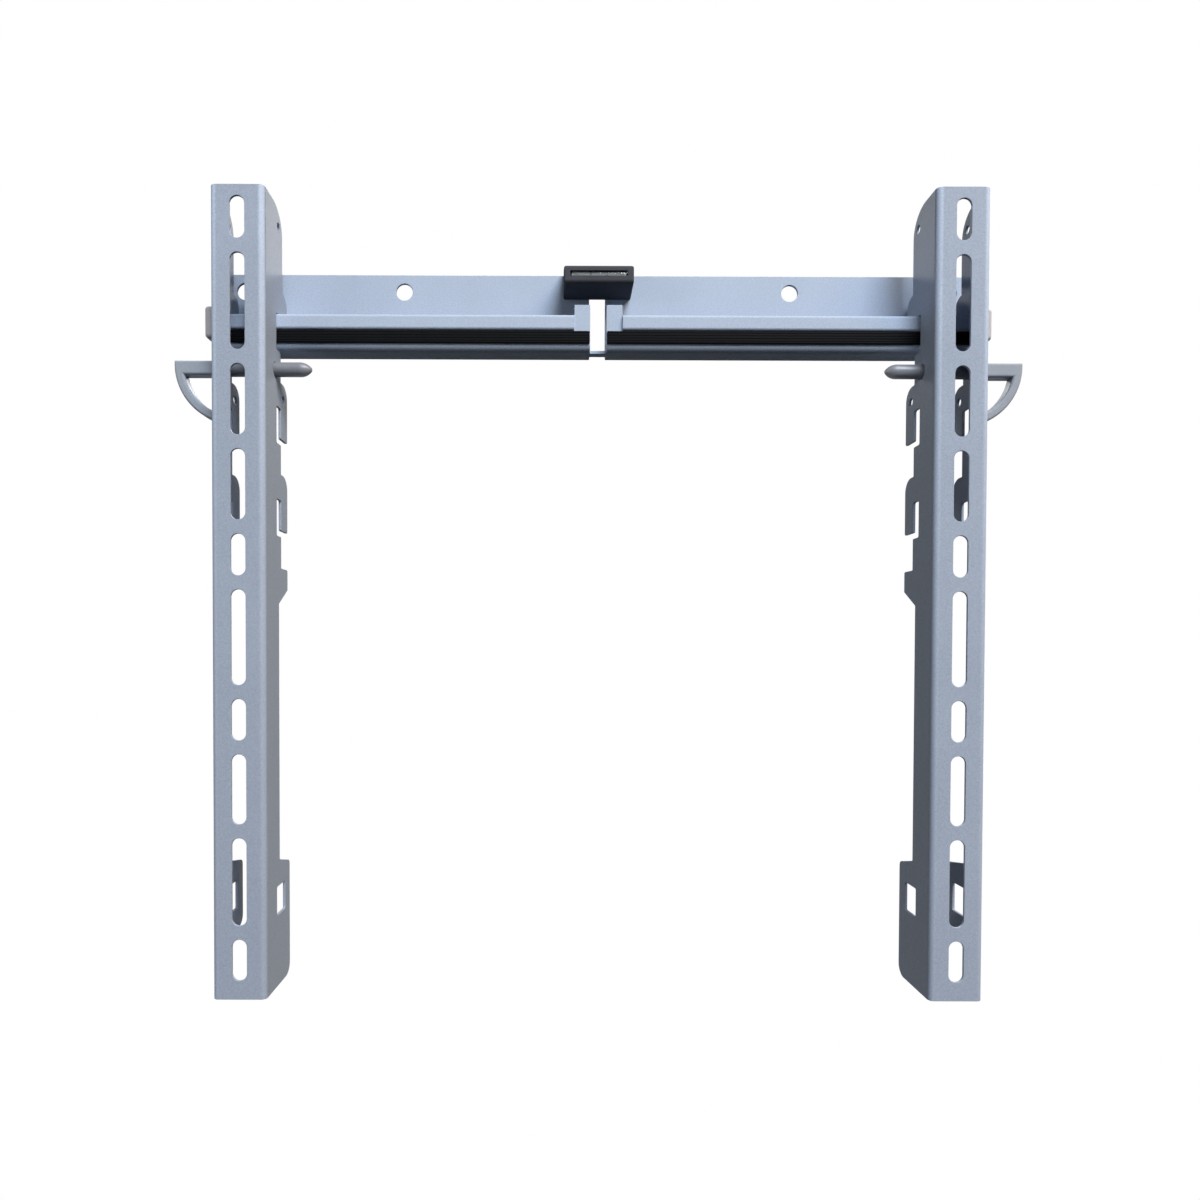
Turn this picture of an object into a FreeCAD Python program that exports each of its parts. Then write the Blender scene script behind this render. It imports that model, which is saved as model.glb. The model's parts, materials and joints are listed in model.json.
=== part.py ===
# Wall mount for a flat television: a folded wall rail, two hook-on strips with locking pins, and a level.
import FreeCAD, Part
import math
import os

Vector = FreeCAD.Vector

# Frame: X runs to the right, Y into the wall and Z up, all in millimetres.
# The origin lies on the wall plane, midway along the row of wall screw holes.
# A depth called "off the wall" grows towards the viewer, so it is minus Y.

# Wall rail, folded from one sheet into a hooked J
rail_length = 444.0
rail_sheet = 2.0
rail_rise = 10.0               # top edge above the row of wall holes
rail_drop = 40.5               # underside below the row of wall holes
rail_shelf = 18.0              # front face of the lip off the wall
rail_bend = 4.0                # outside radius of the two lower folds
rail_corner = 5.0              # rounded top corners of the wall flange
lip_height = 20.2              # rounded top of the lip above the underside
hem_height = 9.0               # edge of the lip folded over to the front
hem_round = 1.7                # rounded front of the fold's raw end
wall_hole_diameter = 9.8
inner_hole_spacing = 230.0
outer_hole_inset = 12.0        # outer wall holes from the rail's ends
centre_slot_width = 9.4
centre_slot_rise = 6.0         # top of the centre slot above the row of wall holes
centre_slot_reach = 7.7        # lower end of the wall flange's slot in the shelf, off the wall
centre_slot_bridge = 5.2       # shelf left whole between that slot and the lip's
ear_width = 9.2                # upright ears of the lip on each side of the slot
ear_rise = 6.2                 # ears above the lip

# Caps over the ends of the lip
cap_lap = 4.8                  # length of rail inside the cap
cap_wall = 2.2
cap_rise = 3.4                 # cap above the lip
cap_low = 5.3                  # cap's lower side above the rail's underside
cap_end = 3.8
cap_round = 2.2
cap_fit = 0.15

# Glide strip on the front of the lip, below the hem
glide_thickness = 1.6
glide_height = 7.0
glide_gap = 0.3
glide_round = 0.6

# Strips, folded U channels that the television is bolted to
strip_height = 451.0
strip_width = 30.0
strip_depth = 40.0             # front face off the wall
strip_sheet = 1.6
strip_bend = 3.0               # outside radius of the folds
strip_end_room = 2.2           # strip to rail cap
slot_width = 8.2
slot_lengths = (23.0, 53.0, 39.0, 39.0, 23.0, 53.0, 23.0, 39.0, 49.0, 23.0)
slot_land = 7.8                # metal between two slots
slot_first = 6.2               # first slot below the top edge
slot_last = 4.0                # least metal below the last slot

# Outline of the strip's flanges, with three hooks for the height
hook_count = 3
hook_pitch = 53.4
hook_from_top = 61.6           # seat of the top hook below the strip's top edge
hook_crown = 15.5              # metal above the seat
hook_crown_round = 8.0
hang_gap = 0.3                 # seat above the lip
lip_room = 0.6                 # hook's throat in front of the hem
ledge_room = 0.5               # ledge below the rail's underside
finger_width = 11.0
finger_room = 1.0              # finger's end above the channel floor
finger_wall_gap = 0.5          # finger in front of the wall flange
inside_round = 1.0             # cut corners of the flange outline
head_inset = 10.3              # back edge of the strip's head off the wall
head_round = 15.0
waist_inset = 13.4             # back edge between the hooks off the wall
shank_inset = 17.3             # inner flange's back edge below the stop, off the wall
outer_shank_inset = 23.0       # outer flange's back edge below the hooks, off the wall
stop_below_hook = 39.3         # top of the stop below the lowest hook's seat
stop_height = 12.1
stop_taper = 9.0
foot_height = 68.5
outer_foot_level = 29.0        # lower side of the outer flange's foot above the strip's end
foot_top_rise = 4.6            # slope of the foot's top edge, up to the shank
foot_top_round = 3.0
foot_heel_round = 7.0
foot_hole_width = 14.0
foot_hole_height = 16.5
foot_hole_inset = 8.0          # back side of the foot's hole off the wall
foot_hole_level = 41.5         # lower side of the foot's hole above the strip's end
gauge_hole_diameter = 4.6
gauge_hook_inset = 9.0         # small hole in the middle hook's crown, off the wall
gauge_hook_level = 6.6         # the same hole above the hook's seat
gauge_head_inset = 16.5        # small hole in the strip's head, off the wall
gauge_head_drop = 11.3         # the same hole below the strip's top edge

# Locking pins and their pull handles
pin_diameter = 8.0
pin_hole_gap = 0.3             # clearance round the pin
pin_inset = 22.0               # pin axis off the wall
pin_below_rail = 9.0           # top of the pin below the rail's underside
pin_reach = 20.8               # pin beyond the strip's inner flange
pin_nose = 7.0
pin_nose_swell = 0.82          # how full the nose is, 0.5 for a plain cone
pin_tip_diameter = 1.6         # flat at the end of the bullet nose
spigot_diameter = 5.0
spigot_length = 14.0
spigot_fit = 0.05
handle_gap = 0.3               # handle to the strip's outer flange
handle_depth = 8.0
handle_bar = 8.0
handle_leg = 4.4
handle_bow = 5.0               # width of the curved bar
handle_radius = 34.0           # outside of the curved bar
handle_reach = 26.5            # outer end beyond the strip
handle_rise = 2.0              # centre of the curve above the pin axis
handle_round = 1.4

# Level clipped over the middle of the rail
level_length = 40.0
level_front = 24.0             # front face off the wall
level_low = -4.2               # underside above the row of wall holes
level_brow = 5.4               # top of the front face above the row of wall holes
level_seat = 2.5               # thickness over the rail's top edge
level_crest = 6.0              # where the sloping top begins, off the wall
level_round = 2.0
level_end_round = 1.2
level_seat_gap = 0.05
peg_fit = 0.15
peg_setback = 0.3              # peg's end in front of the wall
vial_diameter = 7.0
vial_length = 34.0
vial_wall = 0.8
vial_end_wall = 1.5
vial_end_round = 0.8
vial_fit = 0.1
vial_inset = 19.6              # vial axis off the wall
vial_level = 1.3               # vial axis above the row of wall holes
window_height = 2.8
window_lap = 0.6               # housing over each end of the vial
spirit_fit = 0.05
bubble_diameter = 2.4
bubble_length = 8.0
bubble_crown = 0.35            # spirit above the bubble

# Positions that follow from the sizes above
half_rail = rail_length / 2
lip_back = rail_shelf - rail_sheet
hem_front = rail_shelf + rail_sheet
lip_top = -rail_drop + lip_height
hem_low = lip_top - hem_height
floor_top = -rail_drop + rail_sheet
ear_edge = centre_slot_width / 2 + ear_width
cap_inner = half_rail - cap_lap
strip_outer = cap_inner - strip_end_room
strip_centre = strip_outer - strip_width / 2
strip_inner = strip_outer - strip_width
seat_level = lip_top + hang_gap
strip_top = seat_level + hook_from_top
strip_low = strip_top - strip_height
pin_level = -rail_drop - pin_below_rail - pin_diameter / 2
throat_front = hem_front + lip_room
finger_back = rail_sheet + finger_wall_gap
throat_back = finger_back + finger_width
throat_height = lip_height + hang_gap + ledge_room
finger_length = lip_height + hang_gap - rail_sheet - finger_room
lowest_seat = seat_level - (hook_count - 1) * hook_pitch
peg_level = centre_slot_rise - centre_slot_width / 2
spare = 1.0                    # how far a cutting tool passes the metal


def side_point(x):
    """A map from (off the wall, height) to a point of the plane at this X."""
    return lambda off, height: Vector(x, -off, height)


def plan_point(height):
    """A map from (sideways, off the wall) to a point of the plane at this height."""
    return lambda across, off: Vector(across, -off, height)


def rounded_face(corners, place):
    """A flat face from corners (u, v, radius), each corner turned by a tangent arc of its radius."""
    arcs = []
    for index, (u, v, radius) in enumerate(corners):
        before = corners[index - 1]
        after = corners[(index + 1) % len(corners)]
        to_before = FreeCAD.Vector(before[0] - u, before[1] - v, 0).normalize()
        to_after = FreeCAD.Vector(after[0] - u, after[1] - v, 0).normalize()
        half_angle = to_before.getAngle(to_after) / 2
        corner = FreeCAD.Vector(u, v, 0)
        run = radius / math.tan(half_angle)
        inward = (to_before + to_after).normalize()
        middle = corner + inward * (radius / math.sin(half_angle) - radius)
        arcs.append((corner + to_before * run, middle, corner + to_after * run, radius))
    edges = []
    for index, (start, middle, end, radius) in enumerate(arcs):
        last_end = arcs[index - 1][2]
        if last_end.distanceToPoint(start) > 1e-6:
            edges.append(Part.makeLine(place(last_end.x, last_end.y), place(start.x, start.y)))
        if radius > 0:
            points = [place(point.x, point.y) for point in (start, middle, end)]
            edges.append(Part.Arc(*points).toShape())
    return Part.Face(Part.Wire(edges))


def block(x_low, x_high, off_low, off_high, z_low, z_high):
    """A box between two values of X, of depth off the wall and of height."""
    return Part.makeBox(x_high - x_low, off_high - off_low, z_high - z_low, Vector(x_low, -off_high, z_low))


def drill_across(off, height, diameter, x_low, x_high):
    """A round tool along X."""
    return Part.makeCylinder(diameter / 2, x_high - x_low, Vector(x_low, -off, height), Vector(1, 0, 0))


def drill_to_wall(x, height, diameter, off_low, off_high):
    """A round tool along Y."""
    return Part.makeCylinder(diameter / 2, off_high - off_low, Vector(x, -off_high, height), Vector(0, 1, 0))


def upright_slot(x, z_low, z_high, width, off_low, off_high):
    """A tool for a vertical slot with round ends, cut along Y."""
    radius = width / 2
    tool = block(x - radius, x + radius, off_low, off_high, z_low + radius, z_high - radius)
    for height in (z_low + radius, z_high - radius):
        tool = tool.fuse(drill_to_wall(x, height, width, off_low, off_high))
    return tool


def mirrored(shape):
    """The same piece for the other side of the mount."""
    return shape.mirror(Vector(0, 0, 0), Vector(1, 0, 0))


def rail_section(x, grow):
    """Section of the J rail: wall flange, shelf, lip and hem, each face moved out by grow."""
    top_round = (hem_front - lip_back) / 2 + grow
    inner_bend = max(rail_bend - rail_sheet - grow, 0.2)
    corners = [
        (-grow, rail_rise + grow, 0),
        (-grow, -rail_drop - grow, rail_bend + grow),
        (rail_shelf + grow, -rail_drop - grow, rail_bend + grow),
        (rail_shelf + grow, hem_low - grow, 0),
        (hem_front + grow, hem_low - grow, hem_round),
        (hem_front + grow, lip_top + grow, top_round),
        (lip_back - grow, lip_top + grow, top_round),
        (lip_back - grow, floor_top + grow, inner_bend),
        (rail_sheet + grow, floor_top + grow, inner_bend),
        (rail_sheet + grow, rail_rise + grow, 0),
    ]
    return rounded_face(corners, side_point(x))


def make_wall_rail():
    """The folded rail with its wall holes, the centre slot and the two ears of the lip."""
    rail = rail_section(-half_rail, 0).extrude(Vector(rail_length, 0, 0))
    rail = rail.cut(
        block(-ear_edge, ear_edge, rail_shelf, hem_front + spare, hem_low - spare, lip_top + spare))
    ear_foot = lip_top - rail_sheet * 2
    rail = rail.fuse(block(-ear_edge, ear_edge, lip_back, rail_shelf, ear_foot, lip_top + ear_rise))
    half_slot = centre_slot_width / 2
    slot_low = -rail_drop - spare
    slot_top = lip_top + ear_rise + spare
    lip_slot = centre_slot_reach + centre_slot_bridge
    rail = rail.cut(block(-half_slot, half_slot, lip_slot, hem_front + spare, slot_low, slot_top))
    wall_slot_low = slot_low - half_slot
    rail = rail.cut(
        upright_slot(0, wall_slot_low, centre_slot_rise, centre_slot_width, -spare, rail_sheet + spare))
    rail = rail.cut(block(-half_slot, half_slot, -spare, centre_slot_reach, slot_low, floor_top + rail_bend))
    for station in (inner_hole_spacing / 2, half_rail - outer_hole_inset):
        for x in (-station, station):
            rail = rail.cut(drill_to_wall(x, 0, wall_hole_diameter, -spare, rail_sheet + spare))
    rail = rail.removeSplitter()
    corners = []
    for edge in rail.Edges:
        middle = edge.CenterOfMass
        if abs(abs(middle.x) - half_rail) < 1e-6 and abs(middle.z - rail_rise) < 1e-6:
            corners.append(edge)
    return rail.makeFillet(rail_corner, corners)


def make_rail_cap():
    """Moulded cap that closes round the lip at the right end of the rail and stops the strip."""
    low = -rail_drop + cap_low
    high = lip_top + cap_rise
    front = hem_front + cap_wall
    back = lip_back - cap_wall
    section = [(back, low), (front, low), (front, high), (back, high)]
    corners = [(off, height, cap_round) for off, height in section]
    cap = rounded_face(corners, side_point(cap_inner)).extrude(Vector(cap_lap + cap_end, 0, 0))
    outer_end = half_rail + cap_end
    rim = [edge for edge in cap.Edges if edge.BoundBox.XMin > outer_end - 1e-6]
    cap = cap.makeFillet(cap_round * 0.9, rim)
    return cap.cut(rail_section(cap_inner - spare, cap_fit).extrude(Vector(cap_lap + cap_fit + spare, 0, 0)))


def make_glide_strip():
    """Moulded strip on the right half of the lip's front, from the centre slot to the cap."""
    start = centre_slot_width / 2 + glide_gap
    end = cap_inner - glide_gap
    high = hem_low - glide_gap
    low = high - glide_height
    front = rail_shelf + glide_thickness
    corners = [
        (rail_shelf, low, 0),
        (front, low, glide_round),
        (front, high, glide_round),
        (rail_shelf, high, 0),
    ]
    return rounded_face(corners, side_point(start)).extrude(Vector(end - start, 0, 0))


def hook_corners(seat, edge_below, edge_above):
    """Corners of one hook of the flange outline, from the ledge up to the crown."""
    ledge = seat - throat_height
    tip = seat - finger_length
    crown = seat + hook_crown
    return [
        (edge_below, ledge, inside_round),
        (throat_front, ledge, inside_round),
        (throat_front, seat, inside_round),
        (throat_back, seat, inside_round),
        (throat_back, tip, inside_round),
        (finger_back, tip, inside_round),
        (finger_back, crown, hook_crown_round),
        (edge_above, crown, 0),
    ]


def foot_corners(low, shank):
    """Corners of the foot of a flange, from its heel up to the shank."""
    foot_top = strip_low + foot_height
    return [
        (0, low, foot_heel_round),
        (0, foot_top, foot_top_round),
        (shank, foot_top + foot_top_rise, inside_round),
    ]


def inner_outline():
    """Corners of the inner flange from the strip's end up to the hooks: foot, shank and stop."""
    stop_top = lowest_seat - stop_below_hook
    stop_low = stop_top - stop_height
    return foot_corners(strip_low, shank_inset) + [
        (shank_inset, stop_low - stop_taper, inside_round),
        (finger_back, stop_low, inside_round),
        (finger_back, stop_top, inside_round),
        (waist_inset, stop_top, 0),
    ]


def outer_outline():
    """Corners of the outer flange from the strip's end up to the hooks: a cut-away end, foot and shank."""
    low = strip_low + outer_foot_level
    cut_away = [(outer_shank_inset, strip_low, 0), (outer_shank_inset, low, inside_round)]
    return cut_away + foot_corners(low, outer_shank_inset)


def flange_plate(below_hooks, edge_below, x_low, x_high):
    """Side outline of a strip seen along X, with its hooks and head, as a plate between two values of X."""
    front = strip_depth + spare
    corners = [(front, strip_low, 0)] + below_hooks
    for index in range(hook_count):
        is_low = index == 0
        is_top = index == hook_count - 1
        corners += hook_corners(
            lowest_seat + index * hook_pitch,
            edge_below if is_low else waist_inset,
            head_inset if is_top else waist_inset)
    corners += [(head_inset, strip_top, head_round), (front, strip_top, 0)]
    return rounded_face(corners, side_point(x_low)).extrude(Vector(x_high - x_low, 0, 0))


def make_strip():
    """Right strip: U channel trimmed to the outlines of its two flanges, with its slots and holes."""
    left = strip_inner
    right = strip_outer
    web_back = strip_depth - strip_sheet
    inner_bend = strip_bend - strip_sheet
    section = [
        (left, 0, 0),
        (left, strip_depth, strip_bend),
        (right, strip_depth, strip_bend),
        (right, 0, 0),
        (right - strip_sheet, 0, 0),
        (right - strip_sheet, web_back, inner_bend),
        (left + strip_sheet, web_back, inner_bend),
        (left + strip_sheet, 0, 0),
    ]
    channel = rounded_face(section, plan_point(strip_low)).extrude(Vector(0, 0, strip_height))
    inner_plate = flange_plate(inner_outline(), waist_inset, left - spare, strip_centre)
    outer_plate = flange_plate(outer_outline(), outer_shank_inset, strip_centre, right + spare)
    strip = channel.common(inner_plate).fuse(channel.common(outer_plate)).removeSplitter()
    high = strip_top - slot_first
    for length in slot_lengths:
        low = high - length
        if low > strip_low + slot_last:
            tool = upright_slot(strip_centre, low, high, slot_width, web_back - spare, strip_depth + spare)
            strip = strip.cut(tool)
        high = low - slot_land
    across = (left - spare, right + spare)
    pin_hole = pin_diameter + 2 * pin_hole_gap
    strip = strip.cut(drill_across(pin_inset, pin_level, pin_hole, *across))
    middle_seat = seat_level - hook_pitch
    for off, height in (
        (gauge_hook_inset, middle_seat + gauge_hook_level),
        (gauge_head_inset, strip_top - gauge_head_drop),
    ):
        strip = strip.cut(drill_across(off, height, gauge_hole_diameter, *across))
    hole_low = strip_low + foot_hole_level
    hole_front = foot_hole_inset + foot_hole_width
    hole_high = hole_low + foot_hole_height
    foot_hole = [
        (foot_hole_inset, hole_low, inside_round),
        (hole_front, hole_low, inside_round),
        (hole_front, hole_high, inside_round),
        (foot_hole_inset, hole_high, inside_round),
    ]
    tool = rounded_face(foot_hole, side_point(across[0])).extrude(Vector(across[1] - across[0], 0, 0))
    return strip.cut(tool)


def make_lock_pin():
    """Right locking pin: spigot for the handle, plain shank and bullet nose, turned about the X axis."""
    radius = pin_diameter / 2
    shoulder = strip_outer + handle_gap
    tip = strip_inner - pin_reach
    nose_start = tip + pin_nose
    spigot_end = shoulder + spigot_length
    tip_radius = pin_tip_diameter / 2
    place = lambda x, out: Vector(x, -pin_inset, pin_level + out)
    outline = [
        place(tip, tip_radius), place(tip, 0), place(spigot_end, 0), place(spigot_end, spigot_diameter / 2),
        place(shoulder, spigot_diameter / 2), place(shoulder, radius), place(nose_start, radius),
    ]
    edges = [Part.makeLine(start, end) for start, end in zip(outline, outline[1:])]
    bulge = place(nose_start - pin_nose / 2, tip_radius + (radius - tip_radius) * pin_nose_swell)
    edges.append(Part.Arc(outline[-1], bulge, outline[0]).toShape())
    face = Part.Face(Part.Wire(edges))
    return face.revolve(Vector(0, -pin_inset, pin_level), Vector(1, 0, 0), 360)


def make_pin_handle():
    """Right pull handle: a bar on the pin's axis, a curved bar below it and a leg beside the strip."""
    inner = strip_outer + handle_gap
    centre_x = strip_outer + handle_reach - handle_radius
    centre_z = pin_level + handle_rise
    off_low = pin_inset - handle_depth / 2
    off_high = pin_inset + handle_depth / 2
    bar_top = pin_level + handle_bar / 2
    bar_low = pin_level - handle_bar / 2
    deep = handle_radius + handle_bar
    disc = drill_to_wall(centre_x, centre_z, 2 * handle_radius, off_low, off_high)
    handle = disc.common(block(inner, inner + deep, off_low, off_high, bar_top - deep, bar_top))
    opening_radius = handle_radius - handle_bow
    opening = drill_to_wall(centre_x, centre_z, 2 * opening_radius, off_low - spare, off_high + spare)
    opening = opening.common(
        block(inner + handle_leg, inner + deep, off_low - spare, off_high + spare, bar_low - deep, bar_low))
    handle = handle.cut(opening)
    rims = [edge for edge in handle.Edges if edge.BoundBox.YLength < 1e-6]
    handle = handle.makeFillet(handle_round, rims)
    bore = spigot_diameter + 2 * spigot_fit
    bore_end = inner + spigot_length + spigot_fit
    return handle.cut(drill_across(pin_inset, pin_level, bore, inner - spare, bore_end))


def make_level_housing():
    """Level body seated over the rail's top edge, with a peg in the centre slot and a window."""
    half = level_length / 2
    seat = rail_rise + level_seat_gap
    crest = rail_rise + level_seat
    corners = [
        (rail_sheet, level_low, 0),
        (level_front, level_low, level_round),
        (level_front, level_brow, level_round),
        (level_crest, crest, level_round),
        (0, crest, level_round / 2),
        (0, seat, 0),
        (rail_sheet, seat, 0),
    ]
    housing = rounded_face(corners, side_point(-half)).extrude(Vector(level_length, 0, 0))
    ends = []
    for edge in housing.Edges:
        box = edge.BoundBox
        if box.XLength < 1e-6 and box.YMin < -rail_sheet - 1e-3:
            ends.append(edge)
    housing = housing.makeFillet(level_end_round, ends)
    peg = centre_slot_width - 2 * peg_fit
    housing = housing.fuse(drill_to_wall(0, peg_level, peg, peg_setback, rail_sheet + spare))
    bore = vial_diameter + 2 * vial_fit
    half_bore = vial_length / 2 + vial_fit
    pocket = drill_across(vial_inset, vial_level, bore, -half_bore, half_bore)
    pocket_low = vial_level - bore / 2
    pocket = pocket.fuse(
        block(-half_bore, half_bore, rail_sheet - spare, vial_inset, pocket_low, pocket_low + bore))
    peg_keep = block(-peg / 2, peg / 2, 0, rail_sheet + spare, level_low, rail_rise)
    housing = housing.cut(pocket.cut(peg_keep))
    window = vial_length / 2 - window_lap
    low = vial_level - window_height / 2
    return housing.cut(block(-window, window, vial_inset, level_front + spare, low, low + window_height))


def make_level_vial():
    """Clear tube of the level, closed at both ends and hollow."""
    half = vial_length / 2
    tube = drill_across(vial_inset, vial_level, vial_diameter, -half, half)
    tube = tube.makeFillet(vial_end_round, [edge for edge in tube.Edges if edge.BoundBox.XLength < 1e-6])
    inside = vial_diameter - 2 * vial_wall
    half_inside = half - vial_end_wall
    return tube.cut(drill_across(vial_inset, vial_level, inside, -half_inside, half_inside))


def make_level_spirit():
    """Spirit that fills the vial, with the bubble left out of it near the top."""
    diameter = vial_diameter - 2 * vial_wall - 2 * spirit_fit
    half = vial_length / 2 - vial_end_wall - spirit_fit
    spirit = drill_across(vial_inset, vial_level, diameter, -half, half)
    radius = bubble_diameter / 2
    height = vial_level + diameter / 2 - bubble_crown - radius
    straight = bubble_length / 2 - radius
    bubble = drill_across(vial_inset, height, bubble_diameter, -straight, straight)
    for x in (-straight, straight):
        bubble = bubble.fuse(Part.makeSphere(radius, Vector(x, -vial_inset, height)))
    return spirit.cut(bubble)


def build():
    """Every piece by its node name."""
    pieces = {
        "wall_rail": make_wall_rail(),
        "level_housing": make_level_housing(),
        "level_vial": make_level_vial(),
        "level_spirit": make_level_spirit(),
    }
    paired = {
        "rail_cap": make_rail_cap(),
        "glide_strip": make_glide_strip(),
        "strip": make_strip(),
        "lock_pin": make_lock_pin(),
        "pin_handle": make_pin_handle(),
    }
    for name, shape in paired.items():
        pieces["right_" + name] = shape
        pieces["left_" + name] = mirrored(shape)
    return pieces


os.makedirs("parts", exist_ok=True)
for name, shape in build().items():
    solids = shape.Solids
    print(name, len(solids), "solid", round(shape.Volume / 1000, 2), "cm3", shape.isValid())
    solids[0].exportStep("parts/" + name + ".step")
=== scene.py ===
# %% Frame and imports
import json
import math

import bmesh
import bpy
import numpy as np
from mathutils import Matrix, Vector


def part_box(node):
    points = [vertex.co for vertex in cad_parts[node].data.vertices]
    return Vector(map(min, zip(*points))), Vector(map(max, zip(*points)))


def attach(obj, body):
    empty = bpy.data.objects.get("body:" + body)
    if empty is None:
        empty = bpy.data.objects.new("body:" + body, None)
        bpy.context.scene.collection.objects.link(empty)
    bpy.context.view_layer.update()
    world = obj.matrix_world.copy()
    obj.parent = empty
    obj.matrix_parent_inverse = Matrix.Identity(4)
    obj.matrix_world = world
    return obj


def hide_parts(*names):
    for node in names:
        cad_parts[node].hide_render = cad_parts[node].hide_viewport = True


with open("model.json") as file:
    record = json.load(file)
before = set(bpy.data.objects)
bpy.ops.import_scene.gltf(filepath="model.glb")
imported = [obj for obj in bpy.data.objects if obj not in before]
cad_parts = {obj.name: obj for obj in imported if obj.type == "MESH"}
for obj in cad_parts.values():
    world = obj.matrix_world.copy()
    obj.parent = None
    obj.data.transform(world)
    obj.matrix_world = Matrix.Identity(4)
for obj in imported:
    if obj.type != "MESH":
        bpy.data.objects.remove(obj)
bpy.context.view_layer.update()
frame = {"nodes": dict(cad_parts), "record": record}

MM = 0.001
nodes = frame["nodes"]
scene = bpy.context.scene

# %% [markdown]
# The camera stands a little left of the mount's middle and below the rail, close to the wall. That is why
# the underside of the rail shows and why both strips turn their inner flanges to us. A camera can be aimed
# by eye, but this one was worked out from the mount's straight edges: every edge that runs away from the
# wall points at one spot of the picture, and that spot fixes where the lens looks straight on. The picture's
# frame isn't centred on that spot, so the lens is shifted rather than turned.

# %% Camera
picture_width = 1200.0
focal_pixels = 799.5
straight_on = (556.4, 669.0)
camera_place = Vector((-24.3, -483.2, -216.7)) * MM
yaw, pitch, roll = (math.radians(angle) for angle in (-0.08, -0.97, -0.17))
sensor_width = 36.0
nearest_seen = 10 * MM


def turned(axis, angle):
    """Rotation about one axis of the mount's frame, as a 3 by 3 matrix."""
    return Matrix.Rotation(angle, 3, axis)


look = turned("Z", yaw) @ turned("X", pitch) @ turned("Y", roll)
upright = Matrix(((1, 0, 0), (0, 0, -1), (0, 1, 0)))
camera_data = bpy.data.cameras.new("photo_camera")
camera_data.sensor_width = sensor_width
camera_data.lens = focal_pixels / picture_width * sensor_width
camera_data.shift_x = 0.5 - straight_on[0] / picture_width
camera_data.shift_y = straight_on[1] / picture_width - 0.5
camera_data.clip_start = nearest_seen
camera = bpy.data.objects.new("photo_camera", camera_data)
camera.matrix_world = Matrix.Translation(camera_place) @ (look @ upright).to_4x4()
scene.collection.objects.link(camera)
scene.camera = camera
scene.view_settings.view_transform = "Standard"
print("lens", round(camera_data.lens, 3), "mm")

# %% [markdown]
# The mount is lit from high on the right by a large soft lamp, so the left strip's inner flange is nearly
# as bright as its front while the right strip's stays dark. A small warm lamp stands further round to
# the right. It hardly reaches the fronts, which keep their blue tinge, and turns the flange a plainer grey.
# A weak fill far out on the left opens the dark side: from there its light can't pass straight through
# the slots, so the insides of the channels stay dark. A lamp far behind, on the mount's middle plane, serves
# the views from the back: from there its light runs along the channels' walls and hardly brightens them.
# Powers are chosen so that a colour renders about as it is written.

# %% Light
mount_middle = Vector((0, -0.02, -0.17))


def soft_lamp(name, place, size, power, colour):
    """A rectangular area lamp of a width and a height, at place, that faces the middle of the mount."""
    data = bpy.data.lights.new(name, "AREA")
    data.shape = "RECTANGLE"
    data.size, data.size_y = size
    data.energy = power
    data.color = colour
    lamp = bpy.data.objects.new(name, data)
    lamp.location = place
    lamp.rotation_euler = (mount_middle - Vector(place)).to_track_quat("-Z", "Y").to_euler()
    scene.collection.objects.link(lamp)


soft_lamp("key_lamp", place=(0.95, -2.1, 2.0), size=(1.6, 1.8), power=132.0, colour=(0.92, 0.955, 1.0))
soft_lamp("warm_lamp", place=(1.92, -1.21, 1.95), size=(1.0, 1.4), power=35.0, colour=(1.0, 0.66, 0.26))
soft_lamp("fill_lamp", place=(-1.9, -1.0, 0.1), size=(1.0, 1.0), power=9.2, colour=(1.0, 0.97, 0.92))
soft_lamp("back_lamp", place=(0.0, 4.0, 2.1), size=(0.8, 0.8), power=85.0, colour=(1.0, 1.0, 1.0))

# %% [markdown]
# The picture's ground is plain white. A brightly lit backdrop would give that too, but its light would fall
# on the mount as well. So the world is white only to the lens, to reflections and to what is seen through
# the clear tube. To matt surfaces it gives just a little light, because a mount on a wall gets hardly any
# light from below or behind.

# %% World
ambient_strength = 0.014
ambient_colour = (0.92, 0.96, 1.0, 1)
white = (1, 1, 1, 1)


def link(tree, source, target):
    """Join an output socket to an input socket."""
    tree.links.new(source, target)


def add_node(tree, kind, **values):
    """A new shader node with its plain settings, such as operation, set by name."""
    node = tree.nodes.new("ShaderNode" + kind)
    for name, value in values.items():
        setattr(node, name, value)
    return node


def seen_directly(tree):
    """Mask that is 1 for rays from the lens, for reflections and for rays through clear pieces."""
    path = add_node(tree, "LightPath")
    mask = path.outputs["Is Camera Ray"]
    for kind in ("Is Glossy Ray", "Is Transmission Ray"):
        either = add_node(tree, "Math", operation="MAXIMUM")
        link(tree, mask, either.inputs[0])
        link(tree, path.outputs[kind], either.inputs[1])
        mask = either.outputs[0]
    return mask


world = bpy.data.worlds.new("studio")
scene.world = world
world.use_nodes = True
tree = world.node_tree
tree.nodes.clear()
ground = add_node(tree, "Background")
ground.inputs["Color"].default_value = white
ambient = add_node(tree, "Background")
ambient.inputs["Color"].default_value = ambient_colour
ambient.inputs["Strength"].default_value = ambient_strength
either = add_node(tree, "MixShader")
link(tree, seen_directly(tree), either.inputs[0])
link(tree, ambient.outputs[0], either.inputs[1])
link(tree, ground.outputs[0], either.inputs[2])
link(tree, either.outputs[0], add_node(tree, "OutputWorld").inputs["Surface"])
print("world", world.name, "with", len(tree.nodes), "nodes")

# %% [markdown]
# The floor lies well below the mount, as a floor does under a thing that hangs on a wall. A square plane
# would show its edges against the white ground. So the floor is a pale disc that fades out towards its rim.

# %% Floor
floor_level = -1.9
floor_radius = 0.75
rim_points = 96
fade_start = 0.35 * floor_radius
floor_grey = (0.8, 0.8, 0.8, 1)
glow_share = 0.6

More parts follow.
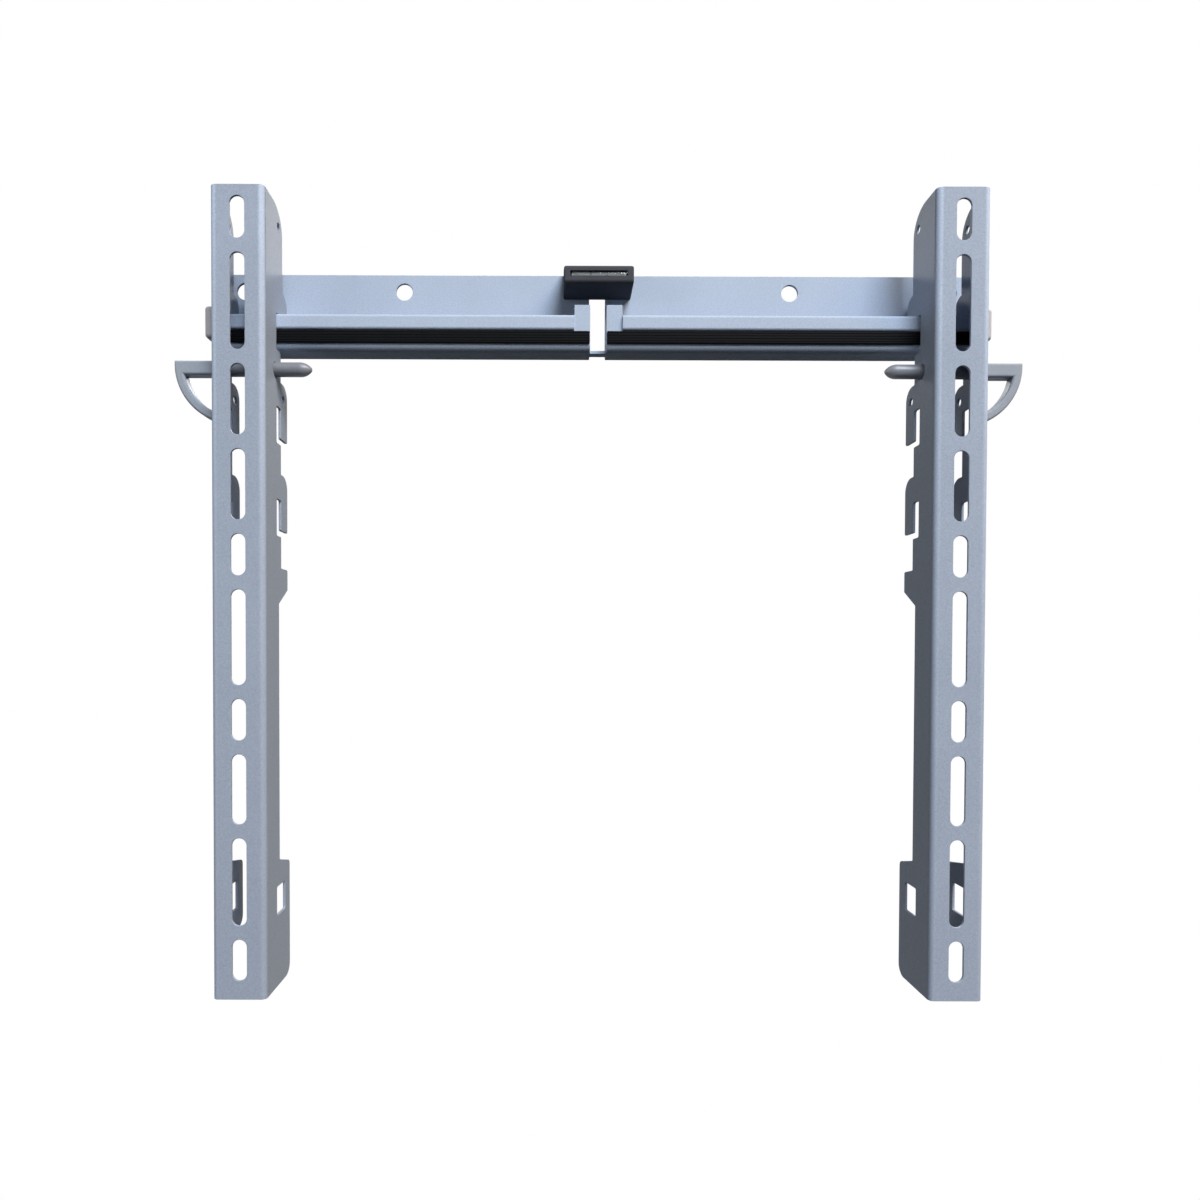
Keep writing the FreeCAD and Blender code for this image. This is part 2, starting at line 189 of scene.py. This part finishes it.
angles = np.linspace(0, 2 * np.pi, rim_points, endpoint=False)
rim = np.stack([np.cos(angles), np.sin(angles), np.zeros(rim_points)], axis=1) * floor_radius
rim[:, 2] = floor_level
floor_mesh = bpy.data.meshes.new("floor")
floor_mesh.from_pydata(rim.tolist(), [], [list(range(rim_points))])
floor = bpy.data.objects.new("floor", floor_mesh)
scene.collection.objects.link(floor)

floor_finish = bpy.data.materials.new("pale_floor")
floor_finish.use_nodes = True
tree = floor_finish.node_tree
tree.nodes.clear()
matt = add_node(tree, "BsdfDiffuse")
matt.inputs["Color"].default_value = floor_grey
glow = add_node(tree, "Emission")
glow.inputs["Color"].default_value = white
link(tree, seen_directly(tree), glow.inputs["Strength"])
pale = add_node(tree, "MixShader")
pale.inputs[0].default_value = glow_share
link(tree, matt.outputs[0], pale.inputs[1])
link(tree, glow.outputs[0], pale.inputs[2])
flat = add_node(tree, "VectorMath", operation="MULTIPLY")
flat.inputs[1].default_value = (1, 1, 0)
link(tree, add_node(tree, "TexCoord").outputs["Object"], flat.inputs[0])
from_middle = add_node(tree, "VectorMath", operation="LENGTH")
link(tree, flat.outputs[0], from_middle.inputs[0])
fade = add_node(tree, "MapRange", interpolation_type="SMOOTHSTEP")
fade.inputs["From Min"].default_value = fade_start
fade.inputs["From Max"].default_value = floor_radius
link(tree, from_middle.outputs["Value"], fade.inputs["Value"])
edge = add_node(tree, "MixShader")
link(tree, fade.outputs["Result"], edge.inputs[0])
link(tree, pale.outputs[0], edge.inputs[1])
link(tree, add_node(tree, "BsdfTransparent").outputs[0], edge.inputs[2])
link(tree, edge.outputs[0], add_node(tree, "OutputMaterial").inputs["Surface"])
floor_mesh.materials.append(floor_finish)
print("floor at", floor_level, "m")

# %% [markdown]
# Every finish below is a few sums on noise. Wired node by node they would fill pages, so small helpers make
# the usual steps: a new group with named sockets, one sum, one noise, a factor that swings about 1, and a
# colour made lighter or darker.

# %% Node helpers
def new_group(name, inputs, outputs):
    """Empty shader group with named sockets; returns its tree and its input and output nodes."""
    tree = bpy.data.node_groups.new(name, "ShaderNodeTree")
    for socket, kind in inputs:
        tree.interface.new_socket(socket, in_out="INPUT", socket_type="NodeSocket" + kind)
    for socket, kind in outputs:
        tree.interface.new_socket(socket, in_out="OUTPUT", socket_type="NodeSocket" + kind)
    return tree, tree.nodes.new("NodeGroupInput"), tree.nodes.new("NodeGroupOutput")


def feed(tree, value, socket):
    """Give an input socket a plain number or the value of an output socket."""
    if isinstance(value, (int, float)):
        socket.default_value = value
    else:
        link(tree, value, socket)


def maths(tree, operation, first, second):
    """Result of one sum on sockets or plain numbers."""
    node = add_node(tree, "Math", operation=operation)
    feed(tree, first, node.inputs[0])
    feed(tree, second, node.inputs[1])
    return node.outputs[0]


def noise(tree, place, scale, detail):
    """Noise from 0 to 1 at a number of grains per metre."""
    node = add_node(tree, "TexNoise")
    node.inputs["Detail"].default_value = detail
    link(tree, place, node.inputs["Vector"])
    feed(tree, scale, node.inputs["Scale"])
    return node.outputs["Fac"]


def swing(tree, value, reach):
    """A 0 to 1 value turned into a factor that swings by reach about 1."""
    centred = maths(tree, "SUBTRACT", value, 0.5)
    return maths(tree, "ADD", maths(tree, "MULTIPLY", centred, reach), 1.0)


def shaded(tree, colour, factor):
    """A colour made lighter or darker by a factor."""
    node = add_node(tree, "VectorMath", operation="SCALE")
    link(tree, colour, node.inputs[0])
    link(tree, factor, node.inputs["Scale"])
    return node.outputs[0]


print("helpers ready")

# %% [markdown]
# The sheet metal wears a silver-grey powder coat. Seen close, such a coat has three layers of detail:
# a fine orange peel of about a millimetre, a speckle of lighter and darker flakes, and slow clouds where
# the powder lay thicker. All three are noise at different scales on the object's own coordinates, so the
# coat stays put from every side. They live in one node group, because the rail and the strips share it.

# %% Powder coat group
grain_inputs = [("Colour", "Color"), ("Roughness", "Float"), ("Grains per metre", "Float"),
                ("Speckle", "Float"), ("Cloud", "Float")]
grain_outputs = [("Colour", "Color"), ("Roughness", "Float"), ("Height", "Float")]
flakes_per_grain = 1.6
clouds_per_metre = 22.0


def wire_grain(tree, given, made, fine, slow, height):
    """Colour times a fine and a slow swing, roughness times the slow one, and the height, to the outputs."""
    clouded = swing(tree, slow, given.outputs["Cloud"])
    tone = maths(tree, "MULTIPLY", swing(tree, fine, given.outputs["Speckle"]), clouded)
    link(tree, shaded(tree, given.outputs["Colour"], tone), made.inputs["Colour"])
    link(tree, maths(tree, "MULTIPLY", given.outputs["Roughness"], clouded), made.inputs["Roughness"])
    link(tree, height, made.inputs["Height"])


coat, given, made = new_group("powder_coat", grain_inputs, grain_outputs)
place = add_node(coat, "TexCoord").outputs["Object"]
grains = given.outputs["Grains per metre"]
peel = noise(coat, place, grains, detail=2.0)
flakes = noise(coat, place, maths(coat, "MULTIPLY", grains, flakes_per_grain), detail=4.0)
clouds = noise(coat, place, clouds_per_metre, detail=3.0)
wire_grain(coat, given, made, fine=flakes, slow=clouds, height=peel)
print("group", coat.name, "with", len(coat.nodes), "nodes")

# %% [markdown]
# The moulded pieces (caps, handles, glide strips and the level's body) carry the texture of their mould,
# which is etched into small rounded cells. Smooth Voronoi cells give that pebbled height, and a fine noise
# breaks up the colour a little, as grey plastic does where it flowed.

# %% Moulded plastic group
dust_per_grain = 0.7
flows_per_metre = 60.0
moulded, given, made = new_group("moulded_plastic", grain_inputs, grain_outputs)
place = add_node(moulded, "TexCoord").outputs["Object"]
grains = given.outputs["Grains per metre"]
cells = add_node(moulded, "TexVoronoi", feature="SMOOTH_F1")
link(moulded, place, cells.inputs["Vector"])
link(moulded, grains, cells.inputs["Scale"])
dust = noise(moulded, place, maths(moulded, "MULTIPLY", grains, dust_per_grain), detail=3.0)
flow = noise(moulded, place, flows_per_metre, detail=2.0)
wire_grain(moulded, given, made, fine=dust, slow=flow, height=cells.outputs["Distance"])
print("group", moulded.name, "with", len(moulded.nodes), "nodes")

# %% [markdown]
# Now the groups become materials. The coat and the plastics are matt: they shine very little where the
# light grazes them, so their specular level is low. The rail's coat is a little lighter and bluer than the
# strips', and the black of the level is a shade greyer than the black of the glide strips.

# %% Grained finishes
matt_roughness = 0.5
grain_strength = 0.25
grain_depth = 0.1 * MM
black_tint = (1.0, 1.08, 1.3)


def new_finish(name, specular):
    """An empty material of a given specular level; returns it with its tree and its shader."""
    material = bpy.data.materials.new(name)
    material.use_nodes = True
    shader = material.node_tree.nodes["Principled BSDF"]
    shader.inputs["Specular IOR Level"].default_value = specular
    return material, material.node_tree, shader


def add_relief(tree, shader, height, strength, depth):
    """A height turned into small slopes of the shader's surface."""
    relief = add_node(tree, "Bump")
    relief.inputs["Strength"].default_value = strength
    relief.inputs["Distance"].default_value = depth
    link(tree, height, relief.inputs["Height"])
    link(tree, relief.outputs[0], shader.inputs["Normal"])


def grained_finish(name, group, colour, specular, grains, speckle, cloud):
    """A material from one of the two grain groups, with the group's height as a fine bump."""
    material, tree, shader = new_finish(name, specular)
    grain = tree.nodes.new("ShaderNodeGroup")
    grain.node_tree = group
    for socket, value in (("Colour", (*colour, 1)), ("Roughness", matt_roughness),
                          ("Grains per metre", grains), ("Speckle", speckle), ("Cloud", cloud)):
        grain.inputs[socket].default_value = value
    link(tree, grain.outputs["Colour"], shader.inputs["Base Color"])
    link(tree, grain.outputs["Roughness"], shader.inputs["Roughness"])
    add_relief(tree, shader, grain.outputs["Height"], grain_strength, grain_depth)
    return material


finishes = {}
for name, colour, shine in (
    ("rail_coat", (0.43, 0.515, 0.66), 0.015),
    ("strip_coat", (0.34, 0.40, 0.508), 0.05),
):
    finishes[name] = grained_finish(name, coat, colour, shine, grains=900.0, speckle=0.55, cloud=0.13)
for name, colour in (("cap_plastic", (0.47, 0.46, 0.50)), ("handle_plastic", (0.32, 0.36, 0.42))):
    finishes[name] = grained_finish(name, moulded, colour, 0.08, grains=1500.0, speckle=0.2, cloud=0.1)
for name, grey, shine in (("glide_plastic", 0.007, 0.03), ("level_plastic", 0.07, 0.0)):
    black = [grey * tint for tint in black_tint]
    finishes[name] = grained_finish(name, moulded, black, shine, grains=1600.0, speckle=0.4, cloud=0.2)
print("grained finishes:", sorted(finishes))

# %% [markdown]
# A painted highlight runs down the long folds of each strip: the coat's colour is made lighter there and
# stands in for the lamp's highlight on the bend. It is strongest at the head and fades towards the foot. It
# could be a thin piece laid on the fold, but then it would have edges. So a group makes the coat lighter
# there, and finds the folds from the object's own coordinates: a point lies on a fold when it is near both
# the side face of a strip and its front face, whichever strip it is. A power of the height between foot and
# head then fades the painted highlight.

# %% Painted highlight on the folds
low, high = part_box("right_strip")
strip_middle = (low[0] + high[0]) / 2
strip_half_width = (high[0] - low[0]) / 2
fold_radius = 3 * MM
reach_inward, reach_backward = 1.35 * fold_radius, 0.85 * fold_radius
full_highlight = 0.5
highlight_gain, highlight_foot_share, highlight_fade_power = 0.5, 0.15, 2.5

fold_highlight, given, made = new_group(
    "painted_fold_highlight", [("Colour", "Color"), ("Gain", "Float")], [("Colour", "Color")])
along = add_node(fold_highlight, "SeparateXYZ")
link(fold_highlight, add_node(fold_highlight, "TexCoord").outputs["Object"], along.inputs[0])
from_middle = maths(fold_highlight, "SUBTRACT", maths(fold_highlight, "ABSOLUTE", along.outputs["X"], 0.0), strip_middle)
from_side = maths(fold_highlight, "SUBTRACT", strip_half_width, maths(fold_highlight, "ABSOLUTE", from_middle, 0.0))
from_front = maths(fold_highlight, "SUBTRACT", along.outputs["Y"], low[1])
inward = maths(fold_highlight, "MULTIPLY", from_side, 1 / reach_inward)
backward = maths(fold_highlight, "MULTIPLY", from_front, 1 / reach_backward)
highlight_mask = add_node(fold_highlight, "MapRange", interpolation_type="SMOOTHSTEP")
link(fold_highlight, maths(fold_highlight, "MAXIMUM", inward, backward), highlight_mask.inputs["Value"])
highlight_mask.inputs["From Min"].default_value = 1.0
highlight_mask.inputs["From Max"].default_value = full_highlight
height = add_node(fold_highlight, "MapRange")
link(fold_highlight, along.outputs["Z"], height.inputs["Value"])
height.inputs["From Min"].default_value = low[2]
height.inputs["From Max"].default_value = high[2]
faded = maths(fold_highlight, "POWER", height.outputs["Result"], highlight_fade_power)
share = maths(fold_highlight, "ADD", maths(fold_highlight, "MULTIPLY", faded, 1 - highlight_foot_share), highlight_foot_share)
# Painted highlight: the fold mask times the fade from head to foot, which lightens the coat's colour
painted_highlight = maths(fold_highlight, "MULTIPLY", highlight_mask.outputs["Result"], share)
gain = maths(fold_highlight, "MULTIPLY", painted_highlight, given.outputs["Gain"])
link(fold_highlight, shaded(fold_highlight, given.outputs["Colour"], maths(fold_highlight, "ADD", gain, 1.0)), made.inputs["Colour"])

# The painted highlight goes into the base colour of the strips' coat
tree = finishes["strip_coat"].node_tree
lighter = tree.nodes.new("ShaderNodeGroup")
lighter.node_tree = fold_highlight
lighter.inputs["Gain"].default_value = highlight_gain
base = tree.nodes["Principled BSDF"].inputs["Base Color"]
link(tree, base.links[0].from_socket, lighter.inputs["Colour"])
link(tree, lighter.outputs["Colour"], base)
print("group", fold_highlight.name, "with", len(fold_highlight.nodes), "nodes")

# %% [markdown]
# The locking pins are turned from bar and plated. A lathe leaves fine rings round the pin's axis. Each ring
# could be cut into the mesh, but they are far too fine for that. So a noise is squeezed hard along X, the
# pin's axis, and left long round it, and it drives the colour, the roughness and a faint bump.

# %% Turned steel
steel_shine, steel_metal = 0.1, 0.2
steel_colour = (0.23, 0.245, 0.28, 1)
steel_roughness = 0.4
rings_per_metre, streaks_per_metre = 3500, 120
ring_tone, ring_sheen = 0.3, 0.5
ring_strength, ring_depth = 0.15, 0.05 * MM

finishes["pin_steel"], tree, shader = new_finish("pin_steel", steel_shine)
shader.inputs["Metallic"].default_value = steel_metal
squeeze = add_node(tree, "Mapping")
squeeze.inputs["Scale"].default_value = (rings_per_metre, streaks_per_metre, streaks_per_metre)
link(tree, add_node(tree, "TexCoord").outputs["Object"], squeeze.inputs["Vector"])
rings = noise(tree, squeeze.outputs[0], 1.0, detail=3.0)
steel = add_node(tree, "RGB")
steel.outputs[0].default_value = steel_colour
link(tree, shaded(tree, steel.outputs[0], swing(tree, rings, ring_tone)), shader.inputs["Base Color"])
sheen = maths(tree, "MULTIPLY", swing(tree, rings, ring_sheen), steel_roughness)
link(tree, sheen, shader.inputs["Roughness"])
add_relief(tree, shader, rings, ring_strength, ring_depth)
print("turned steel with", len(tree.nodes), "nodes")

# %% [markdown]
# The level's tube is clear plastic and the spirit in it a grey liquid. Both let light through by the
# shader's transmission: the tube all of it, the spirit only a part, so that it shows as a grey slit in the
# level's window. Their roughness varies a little, as in a drawn tube and a still liquid.

# %% Clear tube and spirit
clear_shine = 0.15


def clear_finish(name, colour, roughness, ior, streaks, clear):
    """A material that lets a share of the light through; its roughness varies by streaks per metre."""
    material, tree, shader = new_finish(name, clear_shine)
    shader.inputs["Base Color"].default_value = (*colour, 1)
    shader.inputs["Transmission Weight"].default_value = clear
    shader.inputs["IOR"].default_value = ior
    drawn = noise(tree, add_node(tree, "TexCoord").outputs["Object"], streaks, detail=2.0)
    link(tree, maths(tree, "MULTIPLY", drawn, roughness), shader.inputs["Roughness"])
    return material


finishes["vial_clear"] = clear_finish(
    "vial_clear", (0.92, 0.94, 0.94), roughness=0.08, ior=1.49, streaks=300.0, clear=1.0)
finishes["vial_spirit"] = clear_finish(
    "vial_spirit", (0.28, 0.30, 0.31), roughness=0.04, ior=1.36, streaks=150.0, clear=0.25)
print("clear finishes: tube and spirit")

# %% [markdown]
# The part's record says which finish each solid wears, so the solids take their materials from it and no
# list is kept here.

# %% Finishes on the solids
slot_of = {part["node"]: part["material_slot"] for part in frame["record"]["subparts"]}
for name, node in nodes.items():
    node.data.materials.clear()
    node.data.materials.append(finishes[slot_of[name]])
print("finishes on", len(nodes), "nodes")

# %% [markdown]
# Punched and folded sheet has no knife edges: the coat pulls back and rounds every cut edge by a few tenths
# of a millimetre, and that thin rounding catches the light all round the slots. A Bevel modifier makes it.
# It needs whole faces, so each sheet piece is a copy of its solid with the loose triangles merged and the
# flat ones joined. The copy stands for the solid. The level's body is rounded in front only, because its
# peg is hidden in the rail.

# %% Rounded copies
merge_distance = 0.002 * MM
flat_angle = math.radians(0.5)
sharp_angle = math.radians(35)


def rounded_copy(node_name, body, width, behind=0.0):
    """A copy of a solid in whole faces; sharp edges that lie further than behind off the wall are rounded."""
    mesh = nodes[node_name].data.copy()
    mesh.name = node_name + "_rounded"
    shape = bmesh.new()
    shape.from_mesh(mesh)
    bmesh.ops.remove_doubles(shape, verts=shape.verts, dist=merge_distance)
    bmesh.ops.dissolve_limit(shape, angle_limit=flat_angle, verts=shape.verts, edges=shape.edges)
    rounding = shape.edges.layers.float.new("bevel_weight_edge")
    # A behind of 0 rounds the edges that lie on the wall too
    for edge in shape.edges:
        in_front = behind == 0.0 or max(end.co.y for end in edge.verts) < -behind
        edge[rounding] = float(in_front and edge.calc_face_angle(0.0) > sharp_angle)
    for face in shape.faces:
        face.smooth = True
    shape.to_mesh(mesh)
    shape.free()
    piece = bpy.data.objects.new(node_name + "_rounded", mesh)
    scene.collection.objects.link(piece)
    soften = piece.modifiers.new("rounded_edges", "BEVEL")
    soften.width = width
    soften.segments = 2
    soften.limit_method = "WEIGHT"
    soften.use_clamp_overlap = False
    soften.loop_slide = False
    even = piece.modifiers.new("even_shading", "WEIGHTED_NORMAL")
    even.weight = 100
    even.keep_sharp = False
    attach(piece, body)
    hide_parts(node_name)
    print(piece.name, len(mesh.polygons), "faces before rounding")


rounded_copy("wall_rail", "rail", 0.35 * MM)
rounded_copy("left_strip", "left_strip", 0.3 * MM)
rounded_copy("right_strip", "right_strip", 0.3 * MM)
rounded_copy("level_housing", "rail", 0.25 * MM, behind=5 * MM)

# %% [markdown]
# A glide strip of black plastic lies on the front of the lip, so that the strips slide along it without
# scratching the coat. Such strips are extruded, with a few fine grooves along them. The section is a
# formula: a flat back, rounded edges and a front that dips at each groove. Cutting the grooves out of the
# solid would need a cutter for each, and the formula gives them soft edges at once.

# %% Grooved section
edge_pitches = 0.6
groove_half_share = 0.035


def grooved_section(depth, height, edge, grooves, dip, points):
    """Closed section (out, up): a rounded bar whose front dips by a cosine bell at each groove."""
    up = np.linspace(-height / 2, height / 2, points)
    near_edge = np.clip((np.abs(up) - (height / 2 - edge)) / edge, 0, 1)
    front = depth - edge * (1 - np.sqrt(1 - near_edge ** 2))
    centres = (np.arange(grooves) - (grooves - 1) / 2) * height / (grooves + edge_pitches)
    away = np.abs(up[:, None] - centres[None, :]) / (height * groove_half_share)
    bell = np.where(away < 1, 0.5 + 0.5 * np.cos(np.pi * away), 0).sum(axis=1)
    out = np.concatenate([[0.0], front - dip * bell, [0.0]])
    return np.stack([out, np.concatenate([[up[0]], up, [up[-1]]])], axis=1)


print("one section for both glide strips")

# %% [markdown]
# The section is carried along X, and the last half millimetre at each end draws in to round the cut. All
# points are one array of rings by section points, and the faces join each ring to the next.

# %% Glide strips
crease_angle = math.radians(40)
end_steps = 5
end_rounding = 0.4 * MM
bar_edge, groove_count, groove_dip, bar_points = 0.6 * MM, 4, 0.25 * MM, 90


def outward_piece(name, points, faces):
    """A smooth object from an array of points and a list of faces, with every face turned outward."""
    mesh = bpy.data.meshes.new(name)
    mesh.from_pydata(points.reshape(-1, 3).tolist(), [], faces)
    shape = bmesh.new()
    shape.from_mesh(mesh)
    bmesh.ops.recalc_face_normals(shape, faces=shape.faces)
    for face in shape.faces:
        face.smooth = True
    shape.to_mesh(mesh)
    shape.free()
    piece = bpy.data.objects.new(name, mesh)
    scene.collection.objects.link(piece)
    return piece


def swept_bar(name, section, back, level, start, end, rounding):
    """The section carried along X from start to end, drawn in at both ends by a quarter circle."""
    ease = np.linspace(0, np.pi / 2, end_steps)
    lead = rounding * (1 - np.cos(ease))
    shrink = rounding * (1 - np.sin(ease))
    along = np.concatenate([start + lead, (end - lead)[::-1]])
    inset = np.concatenate([shrink, shrink[::-1]])
    middle = section.mean(axis=0)
    reach = np.abs(section - middle).max(axis=0)
    scale = 1 - inset[:, None] / reach[None, :]
    rings = middle + (section[None, :, :] - middle) * scale[:, None, :]
    points = np.empty((len(along), len(section), 3))
    points[:, :, 0] = along[:, None]
    points[:, :, 1] = back - (rings[:, :, 0] - rings[:, :1, 0].min())
    points[:, :, 2] = level + rings[:, :, 1]
    count, ring = points.shape[:2]
    here = np.arange(count - 1)[:, None] * ring + np.arange(ring)[None, :]
    beside = np.arange(count - 1)[:, None] * ring + (np.arange(ring)[None, :] + 1) % ring
    quads = np.stack([here, beside, beside + ring, here + ring], axis=2).reshape(-1, 4)
    ends = [list(range(ring))[::-1], list(range((count - 1) * ring, count * ring))]
    piece = outward_piece(name, points, quads.tolist() + ends)
    piece.data.set_sharp_from_angle(angle=crease_angle)
    return piece


for side in ("left", "right"):
    low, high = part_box(side + "_glide_strip")
    depth, tall, level = high[1] - low[1], high[2] - low[2], (low[2] + high[2]) / 2
    section = grooved_section(depth, tall, bar_edge, groove_count, groove_dip, bar_points)
    strip = swept_bar(side + "_glide_grooved", section, high[1], level, low[0], high[0], end_rounding)
    strip.data.materials.append(finishes["glide_plastic"])
    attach(strip, "rail")
    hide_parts(side + "_glide_strip")
    print(strip.name, len(strip.data.polygons), "faces")

# %% [markdown]
# The level's tube has two dark rings, one at each end of the bubble's place, that show when the rail is
# level. They could be painted by the tube's material, but a clear material carries no crisp print. So each
# ring is a thin band round the tube: a flat section with rounded edges, carried round a circle.

# %% Rings on the tube
turn_steps, band_steps = 48, 12
ring_offset = 4.6 * MM
ring_width, ring_thickness = 0.5 * MM, 0.06 * MM


def printed_ring(name, centre, radius, width, thickness):
    """A band round the X axis: angle on one parameter, a rounded flat section on the other."""
    turn = np.linspace(0, 2 * np.pi, turn_steps, endpoint=False)
    band = np.linspace(0, 2 * np.pi, band_steps, endpoint=False)
    along = width / 2 * np.sign(np.cos(band)) * np.abs(np.cos(band)) ** 0.5
    out = radius + thickness / 2 + thickness / 2 * np.sin(band)
    points = np.empty((turn_steps, band_steps, 3))
    points[:, :, 0] = centre[0] + along[None, :]
    points[:, :, 1] = centre[1] + out[None, :] * np.cos(turn)[:, None]
    points[:, :, 2] = centre[2] + out[None, :] * np.sin(turn)[:, None]
    ring = np.arange(turn_steps * band_steps).reshape(turn_steps, band_steps)
    after = np.roll(ring, -1, axis=0)
    corners = [ring, np.roll(ring, -1, axis=1), np.roll(after, -1, axis=1), after]
    return outward_piece(name, points, np.stack(corners, axis=2).reshape(-1, 4).tolist())


low, high = (Vector(corner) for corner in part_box("level_vial"))
tube_middle = (low + high) / 2
tube_radius = (high[2] - low[2]) / 2
for side, sign in (("left", -1), ("right", 1)):
    centre = tube_middle + Vector((sign * ring_offset, 0, 0))
    ring = printed_ring(side + "_level_ring", centre, tube_radius, ring_width, ring_thickness)
    ring.data.materials.append(finishes["level_plastic"])
    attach(ring, "rail")
    print(ring.name, len(ring.data.polygons), "faces")
